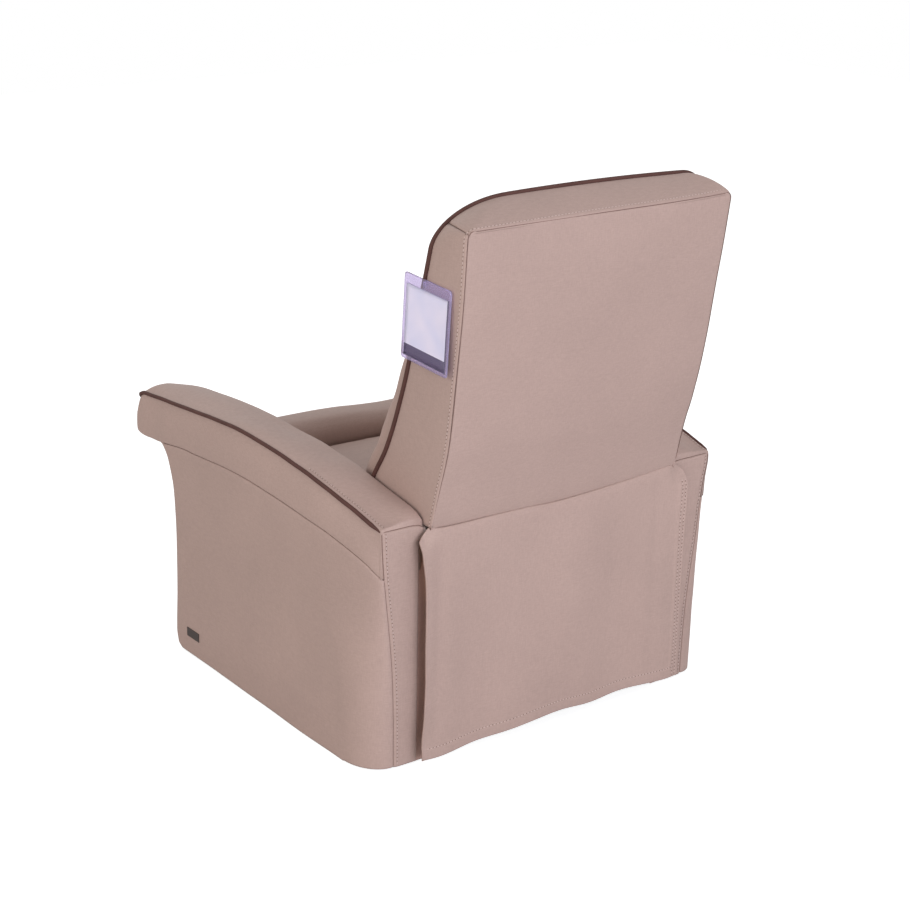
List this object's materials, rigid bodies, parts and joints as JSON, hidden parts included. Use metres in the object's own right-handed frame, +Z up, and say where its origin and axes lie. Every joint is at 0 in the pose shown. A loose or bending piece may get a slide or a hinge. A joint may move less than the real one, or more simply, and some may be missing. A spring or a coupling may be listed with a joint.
{
  "type": "reclining armchair",
  "caption": "Upholstered recliner with padded arm noses, piped wedge back, front bolster, powered recline and leg rest, and a cloth flap hung behind.",
  "frame": {"origin": "on the floor, near the middle of the chair's depth, centred between the arms", "axes": "+Z up, the sitter faces -Y, the sitter's left arm is at +X"},
  "size_m": [0.8033, 0.94, 1.026],
  "materials": {
    "leatherette": "matte taupe leatherette with a fine grain",
    "piping": "dark brown satin cord cover",
    "timber": "plain",
    "steel": "zinc plated",
    "black_steel": "black powder coat",
    "black_plastic": "matte",
    "webbing": "woven elastic",
    "dust_cloth": "non-woven",
    "label": "satin, bare",
    "button_metal": "satin",
    "clear_plastic": "clear soft vinyl",
    "card": "plain printed card"
  },
  "bodies": {
    "base": {"left_arm_frame": "timber", "right_arm_frame": "timber", "left_outer_panel": "leatherette", "right_outer_panel": "leatherette", "left_inner_panel": "leatherette", "right_inner_panel": "leatherette", "left_front_panel": "leatherette", "right_front_panel": "leatherette", "left_rear_strip": "leatherette", "right_rear_strip": "leatherette", "left_arm_pad": "leatherette", "right_arm_pad": "leatherette", "left_arm_piping": "piping", "right_arm_piping": "piping", "glides": "black_plastic", "side_label": "label", "seat_frame_rails": "timber", "bottom_rails": "timber", "front_deck": "timber", "front_bolster": "leatherette", "seat_cushion": "leatherette", "seat_straps": "webbing", "dust_cover": "dust_cloth", "cross_tubes": "black_steel", "pivot_plates": "steel", "pivot_pins": "steel", "leg_hinge_brackets": "steel", "leg_hinge_pins": "steel", "recline_motor": "black_plastic", "recline_outer_tube": "black_steel", "leg_motor": "black_plastic", "leg_outer_tube": "black_steel", "control_box": "black_plastic", "power_inlet": "black_plastic", "switch_plate": "black_plastic"},
    "backrest": {"left_back_stile": "timber", "right_back_stile": "timber", "back_rails": "timber", "back_cross_tube": "black_steel", "recline_lever": "steel", "back_straps": "webbing", "rear_panel": "leatherette", "left_boxing": "leatherette", "right_boxing": "leatherette", "top_boxing": "leatherette", "tail_board": "leatherette", "lumbar_cushion": "leatherette", "head_cushion": "leatherette", "back_piping": "piping", "tag_fastener": "clear_plastic"},
    "leg_rest": {"leg_board": "timber", "leg_cushion": "leatherette", "leg_lever": "steel"},
    "recline_drive_rod": {"recline_rod": "steel"},
    "leg_drive_rod": {"leg_rod": "steel"},
    "skirt_flap": {"skirt": "leatherette"},
    "hang_tag": {"tag_sleeve": "clear_plastic", "tag_card": "card"},
    "recline_switch": {"recline_button": "button_metal"},
    "return_switch": {"return_button": "button_metal"}
  },
  "joints": [
    {"name": "recline", "type": "hinge", "parent": "base", "child": "backrest", "pos_m": [0, 0.346, 0.438], "axis": [-1, 0, 0], "range_deg": [0, 35]},
    {"name": "leg_lift", "type": "hinge", "parent": "base", "child": "leg_rest", "pos_m": [0, -0.316, 0.36], "axis": [-1, 0, 0], "range_deg": [0, 80]},
    {"name": "recline_drive", "type": "slide", "parent": "base", "child": "recline_drive_rod", "axis": [0, -1, 0], "range_m": [0, 0.16301]},
    {"name": "leg_drive", "type": "slide", "parent": "base", "child": "leg_drive_rod", "axis": [0, -1, 0], "range_m": [0, 0.19804]},
    {"name": "skirt_seam", "type": "hinge", "parent": "backrest", "child": "skirt_flap", "pos_m": [0, 0.3711, 0.4564], "axis": [1, 0, 0], "range_deg": [0, 45.51]},
    {"name": "tag_swing", "type": "hinge", "parent": "backrest", "child": "hang_tag", "pos_m": [0.297, 0.361, 0.882], "axis": [1, 0, 0], "range_deg": [-40, 40]},
    {"name": "recline_press", "type": "slide", "parent": "base", "child": "recline_switch", "axis": [1, 0, 0], "range_m": [0, 0.0013], "stiffness_N_per_m": 900},
    {"name": "return_press", "type": "slide", "parent": "base", "child": "return_switch", "axis": [1, 0, 0], "range_m": [0, 0.0013], "stiffness_N_per_m": 900}
  ],
  "couplings": [
    {"joint": "recline_drive", "follows": "recline", "m_per_rad": 0.26683},
    {"joint": "skirt_seam", "follows": "recline", "ratio": 1.3},
    {"joint": "leg_drive", "follows": "leg_lift", "m_per_rad": 0.14183}
  ]
}
